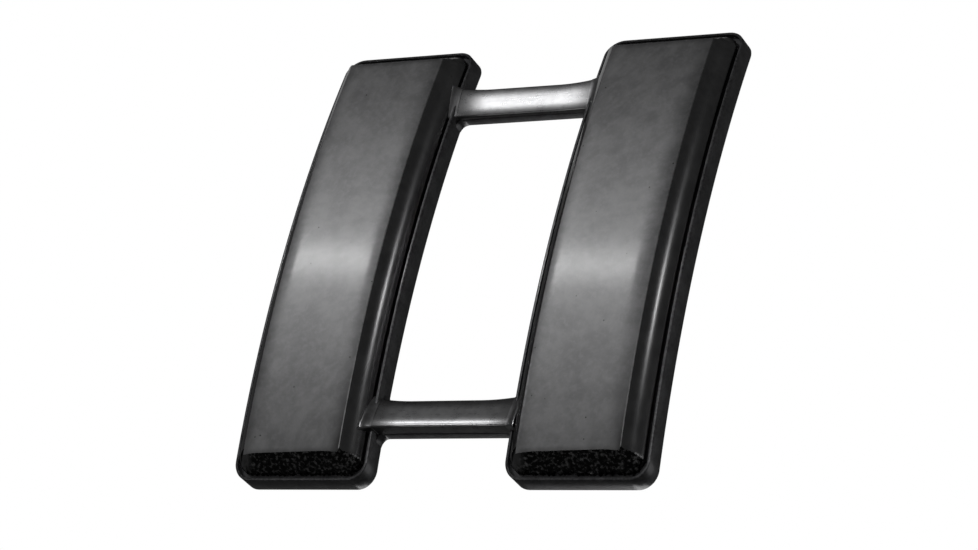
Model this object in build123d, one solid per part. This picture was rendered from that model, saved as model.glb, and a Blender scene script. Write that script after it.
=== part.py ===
from build123d import *
import math
import os

# Double-bar collar insignia, worn upright: +Z runs up the bars, the face looks along -Y, and the
# garment lies in the plane Y = 0, where the ends of the bowed back touch it.  Millimetres.

# ---- bars and base ----
bar_length = 19.05          # straight, from end to end
flange_width = 6.0          # each bar's base
bar_gap = 6.0               # clear width of the window
bow_radius = 54.0           # lengthwise bow of the concave back
flange_thickness = 0.85
flange_corner = 0.75
rim_width = 0.12            # lip that stands round each pocket
pocket_depth = 0.20
groove_width = 0.11         # gap between the lip and the seated bar
bar_corner = 0.65
side_bevel = 0.62           # how far the side bevels lean in
side_bulge = 0.09           # how far they swell out of a straight slope
end_bevel = 0.62
bevel_height = 0.78
face_crown = 0.07

# ---- crossbars ----
crossbar_offset = 6.90      # centre line above or below the middle
crossbar_width = 1.24
crossbar_crown = 0.05
crossbar_shoulder = 0.10    # rounding along both edges of the face
face_lift = {"upper": 0.68, "lower": 0.78}      # middle of the face above the back
face_tilt = {"upper": -2.5, "lower": 10.5}      # degrees that the face looks up
bridge_width = 1.30
bridge_thickness = 0.45
window_corner = 0.35
collar_length = 0.42
collar_lip = 0.05           # collar thickness at the thin end
collar_angle = 24.0         # flare towards the bar

# ---- findings on the back ----
solder_thickness = 0.08
solder_border = 0.16
foot_thickness = 0.30
hinge_offset = 6.50         # hinge axis above the middle
catch_offset = 6.10         # middle of the catch below the middle
pin_height = 1.25           # pin axis behind the garment plane
stem_diameter = 0.80
neck_diameter = 1.04        # where the wire swells into the eye
neck_length = 0.50
neck_drop = 0.70            # neck's upper end below the hinge axis
catch_diameter = 0.66       # stem at the catch's lower end, after its long taper
taper_lead = 0.35           # taper starts this far above the catch
tip_length = 0.95
tip_flat = 0.12
tip_overhang = 0.30         # stem beyond the catch's lower end
eye_diameter = 1.50
eye_width = 1.10
rivet_diameter = 0.60
rivet_head_diameter = 1.05
rivet_head_thickness = 0.20
rivet_clearance = 0.03      # radial, eye on rivet
ear_thickness = 0.30
ear_clearance = 0.05        # each side of the eye
ear_diameter = 1.45
hinge_foot_length = 2.60
hinge_foot_side = 0.55      # foot beyond each ear
barrel_bore_clearance = 0.12    # stem to barrel, radial
barrel_wall = 0.32
slot_clearance = 0.09       # each side of the stem in the slots
housing_clearance = 0.03    # barrel in housing, radial
housing_wall = 0.26
housing_length = 1.20
catch_end_clearance = 0.05
collar_ring_length = 0.55   # barrel's lower ring, which carries the thumb tab
keeper_ring_length = 0.25   # barrel's upper ring
catch_foot_width = 2.60
catch_foot_length = 1.60
catch_neck_width = 1.10
tab_length = 1.00
tab_width = 0.55
tab_thickness = 0.34

margin = 1.0                # how far cutting tools run past the metal
sides = {"left": -1, "right": 1}
levels = {"upper": 1, "lower": -1}

# ---- derived sizes ----
bow_centre = math.sqrt(bow_radius ** 2 - (bar_length / 2) ** 2)
BOW_AXIS = Axis((0, bow_centre, 0), (-1, 0, 0))
bow_reach = 2 * math.degrees(math.asin(bar_length / 2 / bow_radius))
bar_x = (bar_gap + flange_width) / 2
flange_top = bow_radius + flange_thickness
pocket_floor = flange_top - pocket_depth
face_radius = flange_top + bevel_height
bar_inset = rim_width + groove_width
bar_half_width = flange_width / 2 - bar_inset
bar_half_length = bar_length / 2 - bar_inset
bridge_top = bow_radius + bridge_thickness
crossbar_end = bar_gap / 2 + bar_inset


def bowed(profile):
    """Sweep a profile in the XY plane along the bow, past both ends of the bars."""
    return revolve(profile, axis=BOW_AXIS, revolution_arc=2 * bow_reach).rotate(BOW_AXIS, -bow_reach)


def band(x_from, x_to, r_from, r_to):
    """Rectangle across the bow, between two radii."""
    place = Pos((x_from + x_to) / 2, bow_centre - (r_from + r_to) / 2)
    return place * Rectangle(x_to - x_from, r_to - r_from)


def struck(x_middle, z_middle, width, length, r_from, r_to, corner=0.0):
    """Layer of the bow inside an outline whose walls run straight back along Y."""
    outline = RectangleRounded(width, length, corner) if corner else Rectangle(width, length)
    outline = Pos(x_middle, 0, z_middle) * Rot(90, 0, 0) * outline
    layer = bowed(band(x_middle - width, x_middle + width, r_from, r_to))
    return layer & extrude(outline, bar_length / 2, both=True)


def bow_cylinder(radius):
    """Everything nearer than a radius to the axis of the bow."""
    return Pos(0, bow_centre, 0) * Rot(0, 90, 0) * Cylinder(radius, 4 * bar_length)


def bow_y(z, height):
    """Y at a height above the concave back; a negative height is behind it."""
    return bow_centre - math.sqrt((bow_radius + height) ** 2 - z ** 2)


def behind_back(shape, gap=0.0):
    """What is left of a shape behind the concave back, less a gap."""
    return shape & bow_cylinder(bow_radius - gap)


def crossbar_section(level, grow=0.0):
    """Flat-topped section of a crossbar, in a plane across X, grown by a little if asked."""
    z_middle = levels[level] * crossbar_offset
    y_middle = bow_y(z_middle, face_lift[level]) - grow
    half = crossbar_width / 2 + grow
    fall = half * math.tan(math.radians(face_tilt[level]))
    low, high = (0, y_middle - fall, z_middle - half), (0, y_middle + fall, z_middle + half)
    low_foot, high_foot = (0, margin, z_middle - half), (0, margin, z_middle + half)
    crest = (0, y_middle - crossbar_crown, z_middle)
    outline = [Line(low_foot, low), ThreePointArc(low, crest, high), Line(high, high_foot),
               Line(high_foot, low_foot)]
    section = make_face(Curve() + outline)
    return fillet(section.vertices().sort_by(Axis.Y)[:2], crossbar_shoulder + grow)


def crossbar(level):
    rod = extrude(crossbar_section(level), crossbar_end, both=True, dir=(1, 0, 0))
    return rod - bow_cylinder(bridge_top)


def bar(x_middle):
    block = struck(x_middle, 0, 2 * bar_half_width, 2 * bar_half_length, pocket_floor,
                   face_radius + face_crown + margin, bar_corner)
    return block - side_cutter(x_middle) - end_cutter(1) - end_cutter(-1)


def side_cutter(x_middle):
    """Everything outside the swelling side bevels and the crowned face."""
    foot_y = bow_centre - flange_top
    top_y = bow_centre - face_radius
    foot_x = bar_half_width
    top_x = bar_half_width - side_bevel
    slope = math.hypot(side_bevel, bevel_height)
    middle_x = (foot_x + top_x) / 2 + side_bulge * bevel_height / slope
    middle_y = (foot_y + top_y) / 2 - side_bulge * side_bevel / slope
    outline = [
        Line((-foot_x, foot_y), (foot_x, foot_y)),
        ThreePointArc((foot_x, foot_y), (middle_x, middle_y), (top_x, top_y)),
        ThreePointArc((top_x, top_y), (0, top_y - face_crown), (-top_x, top_y)),
        ThreePointArc((-top_x, top_y), (-middle_x, middle_y), (-foot_x, foot_y)),
    ]
    crest = make_face(Curve() + outline)
    around = band(-foot_x - margin, foot_x + margin, flange_top, face_radius + 2 * margin)
    return Pos(x_middle, 0, 0) * bowed(around - crest)


def end_cutter(sign):
    """Wedge beyond the straight bevel at one end of the bars."""
    foot_z = bar_half_length
    foot_y = bow_y(foot_z, flange_thickness)
    edge_z = foot_z - end_bevel
    edge_y = bow_y(edge_z, flange_thickness + bevel_height)
    far_z, far_y = 2 * edge_z - foot_z, 2 * edge_y - foot_y
    corners = [(foot_y, foot_z), (far_y, far_z), (far_y, foot_z + margin),
               (foot_y, foot_z + margin)]
    wedge = make_face(Polyline(*[(0, y, sign * z) for y, z in corners], close=True))
    return extrude(wedge, bar_gap + 2 * flange_width, both=True)


def base_frame():
    """Two flanges and two bridges in one plate."""
    plate = None
    for sign in levels.values():
        bridge = struck(0, sign * crossbar_offset, bar_gap + 2 * margin, bridge_width,
                        bow_radius, bridge_top)
        plate = bridge if plate is None else plate + bridge
    for sign in sides.values():
        plate += struck(sign * bar_x, 0, flange_width, bar_length, bow_radius, flange_top,
                        flange_corner)
    corners = []
    for edge in plate.edges():
        middle = edge.center()
        at_wall = abs(abs(middle.X) - bar_gap / 2) < 1e-3
        at_bridge = abs(abs(abs(middle.Z) - crossbar_offset) - bridge_width / 2) < 1e-3
        if at_wall and at_bridge and edge.length < 2 * bridge_thickness:
            corners.append(edge)
    plate = fillet(corners, window_corner)
    for sign in sides.values():
        plate -= struck(sign * bar_x, 0, flange_width - 2 * rim_width,
                        bar_length - 2 * rim_width, pocket_floor, flange_top + margin,
                        flange_corner - rim_width)
    return plate


def solder_collar(side, level, frame, metal):
    """Flared collar of solder where a crossbar meets a bar."""
    start = bar_gap / 2 + bar_inset + groove_width - collar_length
    section = Pos(sides[side] * start, 0, 0) * crossbar_section(level, collar_lip)
    collar = extrude(section, collar_length, dir=(sides[side], 0, 0), taper=-collar_angle)
    collar -= bow_cylinder(bridge_top)
    for piece in [frame] + metal:
        collar -= piece
    return collar


def solder_pad(x_middle, z_middle, width, length):
    pad = Pos(x_middle, 0, z_middle) * Box(width + 2 * solder_border, 2 * margin + pin_height,
                                           length + 2 * solder_border)
    return behind_back(pad) - bow_cylinder(bow_radius - solder_thickness)


# ---- hinge ----
eye_radius = eye_diameter / 2
ear_inner = eye_width / 2 + ear_clearance
ear_outer = ear_inner + ear_thickness
hinge_foot_width = 2 * (ear_outer + hinge_foot_side)


def across(radius, length, x_middle, y, z):
    """Round bar along X."""
    return Pos(x_middle, y, z) * Rot(0, 90, 0) * Cylinder(radius, length)


def foot(x_middle, z_middle, width, length):
    """Saddle that sits on its solder and follows the bow."""
    deep = bow_radius - solder_thickness - foot_thickness
    block = Pos(x_middle, 0, z_middle) * Box(width, 2 * margin + pin_height, length)
    return behind_back(block, solder_thickness) - bow_cylinder(deep)


def hinge_bracket(x_middle):
    bracket = foot(x_middle, hinge_offset, hinge_foot_width, hinge_foot_length)
    low = bow_y(hinge_offset, -solder_thickness - foot_thickness / 2)
    for sign in (-1, 1):
        x = x_middle + sign * (ear_inner + ear_outer) / 2
        ear = across(ear_diameter / 2, ear_thickness, x, pin_height, hinge_offset)
        height = pin_height - low
        stalk = Box(ear_thickness, height, ear_diameter)
        bracket += ear + Pos(x, low + height / 2, hinge_offset) * stalk
    hole = across(rivet_diameter / 2, 2 * (ear_outer + margin), x_middle, pin_height,
                  hinge_offset)
    return bracket - hole


def hinge_rivet(x_middle):
    length = 2 * ear_outer
    rivet = across(rivet_diameter / 2, length, x_middle, pin_height, hinge_offset)
    for sign in (-1, 1):
        x = x_middle + sign * (ear_outer + rivet_head_thickness / 2)
        rivet += across(rivet_head_diameter / 2, rivet_head_thickness, x, pin_height,
                        hinge_offset)
    return rivet


# ---- pin and catch ----
stem_radius = stem_diameter / 2
barrel_bore = stem_radius + barrel_bore_clearance
barrel_radius = barrel_bore + barrel_wall
housing_bore = barrel_radius + housing_clearance
housing_radius = housing_bore + housing_wall
slot_width = stem_diameter + 2 * slot_clearance
housing_low = -catch_offset - housing_length / 2
barrel_low = housing_low - catch_end_clearance - collar_ring_length
barrel_high = housing_low + housing_length + catch_end_clearance + keeper_ring_length
stem_low = barrel_low - tip_overhang - tip_length


def upright(radius, low, high, x_middle):
    """Round bar along Z, on the pin's axis."""
    return Pos(x_middle, pin_height, (low + high) / 2) * Cylinder(radius, high - low)


def tapered(radius_low, radius_high, low, high, x_middle):
    """Cone along Z, on the pin's axis."""
    cone = Cone(radius_low, radius_high, high - low)
    return Pos(x_middle, pin_height, (low + high) / 2) * cone


def pin_stem(x_middle):
    tip_high = stem_low + tip_length
    taper_high = barrel_high + taper_lead
    neck_high = hinge_offset - neck_drop
    neck_low = neck_high - neck_length
    pin = upright(stem_radius, taper_high, neck_low, x_middle)
    pin += tapered(tip_flat / 2, catch_diameter / 2, stem_low, tip_high, x_middle)
    pin += tapered(catch_diameter / 2, stem_radius, tip_high, taper_high, x_middle)
    pin += tapered(stem_radius, neck_diameter / 2, neck_low, neck_high, x_middle)
    pin += upright(neck_diameter / 2, neck_high, hinge_offset, x_middle)
    pin += across(eye_radius, eye_width, x_middle, pin_height, hinge_offset)
    bore = across(rivet_diameter / 2 + rivet_clearance, eye_width + margin, x_middle,
                  pin_height, hinge_offset)
    return pin - bore


def slot(low, high, x_middle):
    """Way out for the pin, away from the back."""
    reach = housing_radius + margin
    return (Pos(x_middle, pin_height + reach / 2, (low + high) / 2)
            * Box(slot_width, reach, high - low + 2 * margin))


def catch_housing(x_middle):
    high = housing_low + housing_length
    shell = upright(housing_radius, housing_low, high, x_middle)
    low_y = bow_y(catch_offset, -solder_thickness - foot_thickness / 2)
    neck_height = pin_height - low_y
    neck = Box(catch_neck_width, neck_height, housing_length)
    shell += Pos(x_middle, low_y + neck_height / 2, -catch_offset) * neck
    shell -= upright(housing_bore, housing_low - margin, high + margin, x_middle)
    shell -= slot(housing_low, high, x_middle)
    return shell + foot(x_middle, -catch_offset, catch_foot_width, catch_foot_length)


def catch_barrel(x_middle):
    barrel = upright(barrel_radius, barrel_low, barrel_high, x_middle)
    lower_top = barrel_low + collar_ring_length
    barrel += upright(housing_radius, barrel_low, lower_top, x_middle)
    barrel += upright(housing_radius, barrel_high - keeper_ring_length, barrel_high, x_middle)
    tab = Box(tab_length + housing_wall, tab_thickness, tab_width)
    tab_x = x_middle - housing_radius - tab_length / 2 + housing_wall / 2
    tab = fillet(tab.edges().filter_by(Axis.Y).group_by(Axis.X)[0], tab_width / 2.2)
    tab_z = (barrel_low + lower_top) / 2
    barrel += Pos(tab_x, pin_height, tab_z) * tab
    barrel -= upright(barrel_bore, barrel_low - margin, barrel_high + margin, x_middle)
    return barrel - slot(barrel_low, barrel_high, x_middle)


def build():
    """Every separate piece, by its node name."""
    nodes = {}
    for side, sign in sides.items():
        nodes[f"{side}_bar"] = bar(sign * bar_x)
    frame = base_frame()
    for level in levels:
        nodes[f"{level}_crossbar"] = crossbar(level)
        frame -= nodes[f"{level}_crossbar"]
    nodes["backing_plate"] = frame
    metal = [nodes[name] for name in ("left_bar", "right_bar", "upper_crossbar",
                                      "lower_crossbar")]
    for level in levels:
        for side in sides:
            name = f"solder_collar_{level}_{side}"
            nodes[name] = solder_collar(side, level, frame, metal)
    for side, sign in sides.items():
        x = sign * bar_x
        nodes[f"hinge_solder_{side}"] = solder_pad(x, hinge_offset, hinge_foot_width,
                                                   hinge_foot_length)
        nodes[f"catch_solder_{side}"] = solder_pad(x, -catch_offset, catch_foot_width,
                                                   catch_foot_length)
        nodes[f"hinge_bracket_{side}"] = hinge_bracket(x)
        nodes[f"hinge_rivet_{side}"] = hinge_rivet(x)
        nodes[f"pin_stem_{side}"] = pin_stem(x)
        nodes[f"catch_housing_{side}"] = catch_housing(x)
        nodes[f"catch_barrel_{side}"] = catch_barrel(x)
    return nodes


os.makedirs("parts", exist_ok=True)
for name, shape in build().items():
    export_step(shape, f"parts/{name}.step")
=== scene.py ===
"""Double-bar collar insignia: polished black metal, with pins and safety catches behind."""
import math

import bpy
from mathutils import Matrix, Vector, noise


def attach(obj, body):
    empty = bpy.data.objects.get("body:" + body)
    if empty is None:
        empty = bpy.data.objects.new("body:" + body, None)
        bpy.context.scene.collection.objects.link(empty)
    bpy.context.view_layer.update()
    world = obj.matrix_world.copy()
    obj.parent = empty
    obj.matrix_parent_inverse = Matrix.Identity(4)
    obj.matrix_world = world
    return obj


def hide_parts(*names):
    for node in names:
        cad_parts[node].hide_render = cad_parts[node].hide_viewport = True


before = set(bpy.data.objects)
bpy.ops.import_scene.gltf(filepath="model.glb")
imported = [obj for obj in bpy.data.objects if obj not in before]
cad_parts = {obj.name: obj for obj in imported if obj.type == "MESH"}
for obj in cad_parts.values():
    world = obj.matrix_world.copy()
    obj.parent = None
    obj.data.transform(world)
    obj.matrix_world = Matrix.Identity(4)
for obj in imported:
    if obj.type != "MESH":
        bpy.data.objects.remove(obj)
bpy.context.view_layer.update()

MM = 0.001
TINY = 1e-6
ROUNDED = 50                # edges sharper than this stay crisp: soft shapes,
DRAWN = 45                  # wire
STRUCK = 40                 # and stampings

# ---- the metal's sizes, in millimetres ----
BAR_LENGTH = 19.05
FLANGE_WIDTH = 6.0
BAR_GAP = 6.0
BOW_RADIUS = 54.0
FLANGE_THICKNESS = 0.85
FLANGE_CORNER = 0.75
RIM_WIDTH = 0.12
POCKET_DEPTH = 0.20
GROOVE_WIDTH = 0.11
BAR_CORNER = 0.65
SIDE_BEVEL = 0.62
SIDE_BULGE = 0.09
END_BEVEL = 0.62
BEVEL_HEIGHT = 0.78
FACE_CROWN = 0.067
CROSSBAR_OFFSET = 6.90
CROSSBAR_WIDTH = 1.24
CROSSBAR_CROWN = 0.05
CROSSBAR_SHOULDER = 0.10
FACE_LIFT = {"upper": 0.68, "lower": 0.78}
FACE_TILT = {"upper": -2.5, "lower": 10.5}
BRIDGE_WIDTH = 1.30
BRIDGE_THICKNESS = 0.45
WINDOW_CORNER = 0.35
COLLAR_LENGTH = 0.42

BOW_CENTRE = math.sqrt(BOW_RADIUS ** 2 - (BAR_LENGTH / 2) ** 2)
BAR_X = (BAR_GAP + FLANGE_WIDTH) / 2
BAR_INSET = RIM_WIDTH + GROOVE_WIDTH
BAR_HALF_WIDTH = FLANGE_WIDTH / 2 - BAR_INSET
BAR_HALF_LENGTH = BAR_LENGTH / 2 - BAR_INSET
POCKET_FLOOR = FLANGE_THICKNESS - POCKET_DEPTH
FACE_HEIGHT = FLANGE_THICKNESS + BEVEL_HEIGHT
FACE_HALF_WIDTH = BAR_HALF_WIDTH - SIDE_BEVEL
SIDES = {"left": -1, "right": 1}
LEVELS = {"upper": 1, "lower": -1}


def bow_y(z, height):
    """Y of a place at a height above the bowed back, in millimetres."""
    return BOW_CENTRE - math.sqrt((BOW_RADIUS + height) ** 2 - z ** 2)


def on_bow(x, z, height):
    """World place above the bowed back."""
    return Vector((x, bow_y(z, height), z)) * MM


# ---- meshes ----

class Shell:
    """Points and faces of one closed skin, with the marks that its finish reads."""

    def __init__(self):
        self.points = []
        self.faces = []
        self.marks = {"wear": [], "grain": [], "flank": [], "shade": []}

    def point(self, place, wear=0.0, grain=0.0, flank=0.0, shade=0.0):
        self.points.append(place)
        values = (("wear", wear), ("grain", grain), ("flank", flank), ("shade", shade))
        for mark, value in values:
            self.marks[mark].append(value)
        return len(self.points) - 1

    def ring(self, places, wear=0.0, grains=None, flank=0.0):
        grains = grains or [0.0] * len(places)
        return [self.point(place, wear, grain, flank) for place, grain in zip(places, grains)]

    def join(self, low, high):
        """Walls between two rings of equal length."""
        count = len(low)
        for k in range(count):
            after = (k + 1) % count
            self.faces.append((low[k], low[after], high[after], high[k]))

    def cap(self, ring, flip):
        self.faces.append(tuple(reversed(ring)) if flip else tuple(ring))

    def strips(self, ring, across, along, flip):
        """Close a grid's boundary with strips that run straight across."""
        right = ring[across:across + along + 1]
        left = [ring[0]] + list(reversed(ring[2 * across + along:]))
        low = [ring[0]] + ring[1:across] + [right[0], right[1], left[1]]
        top = [left[-2], right[-2]] + ring[across + along:2 * across + along + 1]
        strips = [low, top]
        for k in range(1, along - 1):
            strips.append([left[k], right[k], right[k + 1], left[k + 1]])
        for strip in strips:
            self.cap(strip, flip)


def make_piece(name, shells, sharp):
    """One object from its shells, smooth but for edges sharper than an angle in degrees."""
    points, faces = [], []
    marks = {mark: [] for mark in shells[0].marks}
    for shell in shells:
        first = len(points)
        points += shell.points
        for mark, values in shell.marks.items():
            marks[mark] += values
        faces += [tuple(first + k for k in face) for face in shell.faces]
    mesh = bpy.data.meshes.new(name)
    mesh.from_pydata(points, [], faces)
    for mark, values in marks.items():
        layer = mesh.attributes.new(mark, "FLOAT", "POINT")
        layer.data.foreach_set("value", values)
    mesh.validate()
    mesh.polygons.foreach_set("use_smooth", [True] * len(mesh.polygons))
    mesh.set_sharp_from_angle(angle=math.radians(sharp))
    piece = bpy.data.objects.new(name, mesh)
    bpy.context.scene.collection.objects.link(piece)
    return piece


def spread(count, crowding=0.0):
    """Even steps from -1 to 1, crowded towards both ends if asked."""
    steps = []
    for k in range(count + 1):
        even = 2 * k / count - 1
        steps.append((1 - crowding) * even + crowding * math.sin(math.pi / 2 * even))
    return steps


def plan_ring(half_width, half_length, corner, across, along):
    """Boundary of a rectangle's grid with rounded corners: low end, right, high end, left."""
    loop = [(u * half_width, -half_length) for u in across[:-1]]
    loop += [(half_width, v * half_length) for v in along[:-1]]
    loop += [(-u * half_width, half_length) for u in across[:-1]]
    loop += [(-half_width, -v * half_length) for v in along[:-1]]
    return [rounded(x, s, half_width, half_length, corner) for x, s in loop]


def rounded(x, s, half_width, half_length, corner):
    """Move a point of a rectangle's boundary onto its rounded corner."""
    over_x = abs(x) - (half_width - corner)
    over_s = abs(s) - (half_length - corner)
    if corner <= 0 or over_x <= 0 or over_s <= 0:
        return x, s
    if over_s >= over_x:
        turn = math.pi / 4 * over_x / corner
        new_x, new_s = math.sin(turn), math.cos(turn)
    else:
        turn = math.pi / 4 * over_s / corner
        new_x, new_s = math.cos(turn), math.sin(turn)
    new_x = half_width - corner + corner * new_x
    new_s = half_length - corner + corner * new_s
    return math.copysign(new_x, x), math.copysign(new_s, s)


# ---- the raised bars ----

FACE_COLUMNS = 110
FACE_ROWS = 200
BEVEL_STEPS = 26
SIDE_ROLL = 0.85            # the polishing wheel rolled the face over this near its sides
END_ROLL = 0.25             # and this near its ends
ROLL_DROP = 0.064
END_DROP = 0.014
ROLL_POWER = 2.5
END_REACH = 0.17            # how much longer the face is left at its lower end
END_SKEW = 0.10             # and how much more at the left corner
GRAIN_SIZE = 0.15
COARSE_SLICE = 0.3          # where the two grains are cut out of their noise
FINE_SLICE = 7.1
BAR_SLICE = 11.3            # keeps one bar's grain from being the other's
GRAIN_DEPTH = 0.13
GRAIN_BIAS = 0.5            # share of the pits' depth that lies everywhere on the cast ends
COARSE_GRAIN = 0.9
FINE_GRAIN = 0.45
FINER = 2.3                 # how much finer the second grain is
GRAIN_BITE = 0.7            # share of a pit's depth taken along, and of it taken down
UPPER_CAST = 0.3            # the upper ends are smoother than the lower ones
CAST_START = 0.22           # the cast grain starts this far inside the left hip
CAST_FADE = 0.40            # and is at its full depth this much further in
CAST_HIPS = {"left": 0.3, "right": 0.8}     # how much of each rounded hip it takes in
CAST_RAGGED = 0.20          # how far its left edge wanders
CAST_RAGS = 0.12            # and over what length
HIP_POWER = 1.3             # how fast the hips' rounding closes up the bevels
RIDGE_WEAR = 0.5            # black worn off along every ridge
RIDGE_WIDTH = 0.04
SHADE_WIDTH = 0.32          # painted shade near the faces' right sides, deeper towards the lower end
SHADE_START = 2.0
SHADE_END = 8.4
GLINT_WIDTH = 0.07            # painted highlight: a pale strip along the right bar's inner ridge beside the lower crossbar
GLINT_REACH = 1.6
GLINT_STRENGTH = 3.0


def bevel_at(t):
    """Side inset, end inset and height part of the way up the bevels."""
    slope = math.hypot(SIDE_BEVEL, BEVEL_HEIGHT)
    swell = SIDE_BULGE * 4 * t * (1 - t) / slope
    rise = BEVEL_HEIGHT * t + swell * SIDE_BEVEL
    return SIDE_BEVEL * t - swell * BEVEL_HEIGHT, END_BEVEL * rise / BEVEL_HEIGHT, rise


def grains(x, z):
    """Depth of the pits in the cast ends, from 0 to 1."""
    coarse = noise.noise(Vector((x, z, COARSE_SLICE)) / GRAIN_SIZE)
    fine = noise.noise(Vector((x, z, FINE_SLICE)) / GRAIN_SIZE * FINER)
    return min(1.0, max(0.0, GRAIN_BIAS + COARSE_GRAIN * coarse + FINE_GRAIN * fine))


def crown(x):
    """Height of the face above its side edges."""
    from_side = FACE_HALF_WIDTH - abs(x)
    arch = (FACE_CROWN - ROLL_DROP) * (1 - (x / FACE_HALF_WIDTH) ** 2)
    dip = END_DROP * min(1, from_side / END_ROLL)
    return (ROLL_DROP + arch) * roll(from_side, SIDE_ROLL) - dip


def shade_at(from_side, z):
    """Strength of the painted shade on a face, from 0 to 1."""
    lower = min(1.0, max(0.0, (-z - SHADE_START) / (SHADE_END - SHADE_START)))
    return lower ** 2 * math.exp(-from_side / SHADE_WIDTH)


def painted_glint(side, x, z):
    """Strength of the painted highlight on the right bar's inner ridge, from 0 to 1."""
    if side != "right" or x > 0:
        return 0.0
    beside = (z + CROSSBAR_OFFSET) / GLINT_REACH
    return math.exp(-beside ** 4) * math.exp(-((FACE_HALF_WIDTH + x) / GLINT_WIDTH) ** 2)


def skew(x):
    """Extra length of the face at its lower end, most of it at the left."""
    return END_REACH + END_SKEW * (1 - x) / 2


def roll(inside, width):
    """How much of a roll's height is reached at a distance from its edge."""
    return 1 - max(0.0, 1 - inside / width) ** ROLL_POWER


def bar(side):
    """Raised bar with swollen side bevels and rough cast end bevels."""
    shell = Shell()
    x_middle = SIDES[side] * BAR_X
    across = spread(FACE_COLUMNS, crowding=0.45)
    along = spread(FACE_ROWS, crowding=0.35)

    def lay(t, side_inset, end_inset, height, corner, wear, cast, flank):
        """One ring of the bevels, t of the way up them."""
        half_width = BAR_HALF_WIDTH - side_inset
        half_length = BAR_HALF_LENGTH - end_inset
        places, marks = [], []
        for x, z in plan_ring(half_width, half_length, corner, across, along):
            hip = CAST_HIPS["left" if x < 0 else "right"]
            on_end = abs(z) > half_length - hip * corner - TINY
            ragged = CAST_RAGGED * noise.noise(Vector((x, z, side_inset)) / CAST_RAGS)
            from_hip = (x + half_width + ragged - CAST_START) / CAST_FADE
            rough = cast * min(1.0, max(0.0, from_hip)) if on_end else 0.0
            rough *= 1.0 if z < 0 else UPPER_CAST
            pit = rough * grains(x + BAR_SLICE * x_middle, z) * GRAIN_DEPTH
            marks.append(rough)
            lift = t * crown(x * FACE_HALF_WIDTH / half_width) if on_end else 0.0
            inset = pit * GRAIN_BITE + lift * END_BEVEL / BEVEL_HEIGHT
            if on_end and z < 0:
                inset -= t * skew(x / half_width)
            z -= math.copysign(inset, z)
            places.append(on_bow(x_middle + x, z, height + lift - pit * GRAIN_BITE))
        return shell.ring(places, wear, marks, flank)

    rings = [lay(0.0, 0.0, 0.0, POCKET_FLOOR, BAR_CORNER, 0.0, 1.0, 1.0)]
    for k in range(BEVEL_STEPS + 1):
        t = k / BEVEL_STEPS
        side_inset, end_inset, rise = bevel_at(t)
        cast = 1.0 if k < BEVEL_STEPS else 0.0
        near_ridge = RIDGE_WEAR * math.exp(-((1 - t) / RIDGE_WIDTH) ** 2)
        corner = BAR_CORNER * (1 - t) ** HIP_POWER
        flank = 1.0 if k < BEVEL_STEPS else 0.0
        rings.append(lay(t, side_inset, end_inset, FLANGE_THICKNESS + rise, corner,
                         near_ridge, cast, flank))
    for low, high in zip(rings, rings[1:]):
        shell.join(low, high)
    shell.strips(rings[0], FACE_COLUMNS, FACE_ROWS, True)
    face(shell, rings[-1], side, across, along)
    return make_piece(f"{side}_bevelled_bar", [shell], ROUNDED)


def face(shell, edge, side, across, along):
    """Crowned face, rolled over near its edges, inside the bevels' last ring."""
    columns, rows = FACE_COLUMNS, FACE_ROWS
    x_middle = SIDES[side] * BAR_X
    grid = {}
    for k in range(columns):
        grid[k, 0] = edge[k]
        grid[columns - k, rows] = edge[columns + rows + k]
    for k in range(rows):
        grid[columns, k] = edge[columns + k]
        grid[0, rows - k] = edge[2 * columns + rows + k]
    for i in range(1, columns):
        x = across[i] * FACE_HALF_WIDTH
        half_length = BAR_HALF_LENGTH - END_BEVEL * (1 + crown(x) / BEVEL_HEIGHT)
        for j in range(1, rows):
            reach = half_length if along[j] > 0 else half_length + skew(across[i])
            z = along[j] * reach
            from_side, from_end = FACE_HALF_WIDTH - abs(x), reach - abs(z)
            drop = END_DROP * min(1, from_side / END_ROLL) * roll(from_end, END_ROLL)
            wear = RIDGE_WEAR * math.exp(-(min(from_side, from_end) / RIDGE_WIDTH) ** 2)
            # painted highlight on the right bar's inner ridge, carried in the wear mark
            wear += GLINT_STRENGTH * painted_glint(side, x, z)
            place = on_bow(x_middle + x, z, FACE_HEIGHT + crown(x) + drop)
            # painted shade, on the right half of each face only
            shade = shade_at(from_side, z) if x > 0 else 0.0
            grid[i, j] = shell.point(place, wear, 0.0, 0.0, shade)
    for j in range(rows):
        for i in range(columns):
            shell.faces.append((grid[i, j], grid[i + 1, j], grid[i + 1, j + 1],
                                grid[i, j + 1]))


# ---- the base ----

FLANGE_COLUMNS = 40
FLANGE_ROWS = 150
EDGE_ROUND = 0.05


def flange(side):
    """Slab with rounded edges and corners, and a shallow pocket for its bar."""
    shell = Shell()
    x_middle = SIDES[side] * BAR_X
    across = spread(FLANGE_COLUMNS, crowding=0.5)
    along = spread(FLANGE_ROWS, crowding=0.5)
    top = FLANGE_THICKNESS
    soft = EDGE_ROUND
    profile = [(0.0, soft, 0.2), (0.3 * soft, 0.3 * soft, 0.6), (soft, 0.0, 0.3),
               (top - 0.8 * soft, 0.0, 0.4), (top - 0.25 * soft, 0.25 * soft, 1.0),
               (top, 0.8 * soft, 0.8), (top, RIM_WIDTH - 0.4 * soft, 0.5),
               (top - 0.4 * soft, RIM_WIDTH, 0.0), (POCKET_FLOOR, RIM_WIDTH, 0.0)]
    rings = []
    for height, inset, wear in profile:
        outline = plan_ring(FLANGE_WIDTH / 2 - inset, BAR_LENGTH / 2 - inset,
                            FLANGE_CORNER - inset, across, along)
        rings.append(shell.ring([on_bow(x_middle + x, z, height) for x, z in outline], wear))
    for low, high in zip(rings, rings[1:]):
        shell.join(low, high)
    shell.strips(rings[0], FLANGE_COLUMNS, FLANGE_ROWS, True)
    shell.strips(rings[-1], FLANGE_COLUMNS, FLANGE_ROWS, False)
    return shell


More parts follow.
